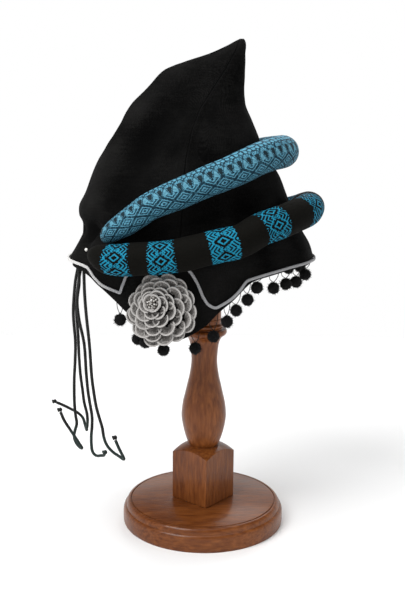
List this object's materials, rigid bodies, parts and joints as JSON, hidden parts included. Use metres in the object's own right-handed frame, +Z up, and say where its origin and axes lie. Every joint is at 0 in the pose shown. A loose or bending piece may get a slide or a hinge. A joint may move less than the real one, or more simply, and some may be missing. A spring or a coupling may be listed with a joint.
{
  "type": "hennin cone hat on a turned hat stand",
  "caption": "Black cloth cone hood with a bent peak, padded rolls, braided hem, crochet flower, pompom fringe and nape cords, on a turned wooden hat stand.",
  "frame": {"origin": "centre of the stand's foot, on its underside", "axes": "+Z up, +X the way the wearer's face would look, -Y the side with the flower"},
  "size_m": [0.2669, 0.2085, 0.469],
  "materials": {
    "black_cloth": "matt woven wool",
    "black_lining": "matt woven cotton",
    "grey_braid": "narrow grey braid",
    "blue_brocade": "blue brocade with dark figures",
    "grey_wool": "crocheted wool",
    "glass_bead": "small glossy beads",
    "black_wool": "fluffy wool",
    "black_cord": "twisted cord",
    "pearl": "glossy pearl",
    "stained_wood": "stained and satin varnished"
  },
  "bodies": {
    "root": {"hood": "black_cloth", "under_layer": "black_lining", "hem_braid": "grey_braid", "upper_roll": "blue_brocade", "lower_roll": "black_cloth", "flower": "grey_wool", "flower_beads": "glass_bead", "pompom_fringe": "black_wool", "nape_pearl": "pearl", "cord_1": "black_cord", "cord_2": "black_cord", "cord_3": "black_cord", "cord_4": "black_cord", "cord_knot_1": "black_cord", "cord_knot_2": "black_cord", "cord_knot_3": "black_cord", "cord_knot_4": "black_cord", "stand_base": "stained_wood", "stand_post": "stained_wood", "stand_head": "stained_wood"}
  },
  "joints": []
}
